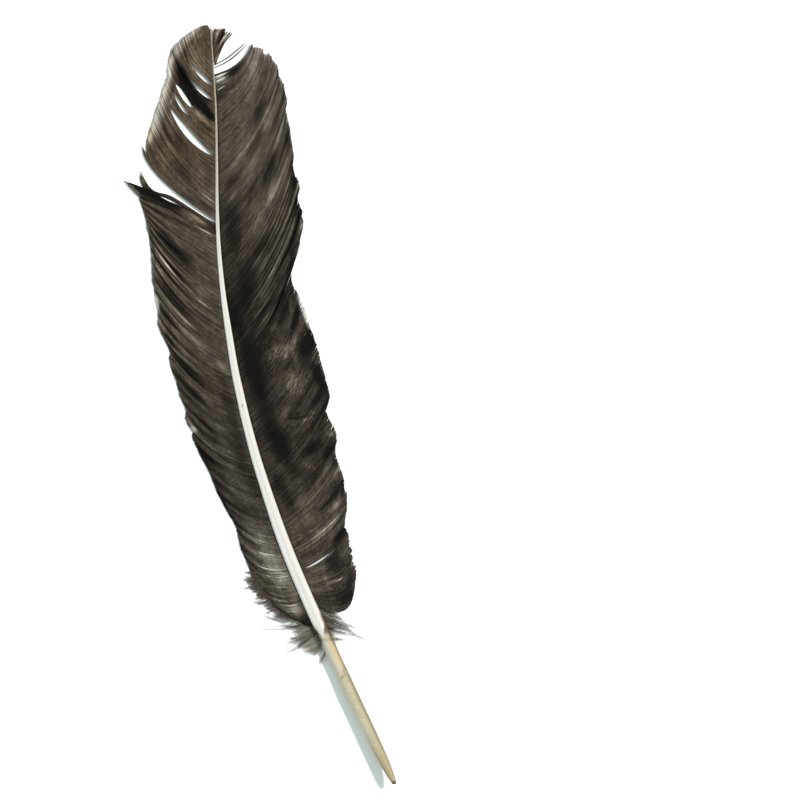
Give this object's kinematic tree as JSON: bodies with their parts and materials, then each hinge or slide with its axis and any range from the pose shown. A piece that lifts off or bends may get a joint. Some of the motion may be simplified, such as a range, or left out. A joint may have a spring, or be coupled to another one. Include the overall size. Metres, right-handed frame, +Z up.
{
  "type": "feather",
  "caption": "Long worn wing quill feather lying flat, with a grooved curved shaft, a broad and a narrow vane with splits, and a tuft of down above the bare stem.",
  "frame": {"origin": "centre of the bounding box, on the surface that the feather lies on", "axes": "+Y along the feather from the stem end to the tip, +X toward the broad vane, +Z up, away from the surface and toward the grooved side of the shaft"},
  "size_m": [0.0694, 0.3036, 0.0066],
  "materials": {
    "shaft": "satin",
    "vane": "satin",
    "dark_lock": "satin",
    "down": "matte"
  },
  "bodies": {
    "root": {"shaft": "shaft", "inner_vane": "vane", "inner_tip_tuft": "vane", "inner_stray_barbs": "vane", "outer_vane_upper": "vane", "outer_vane_lower": "vane", "outer_spike_lock": "vane", "outer_bent_lock": "dark_lock", "outer_down": "down", "inner_down": "down"}
  },
  "joints": []
}
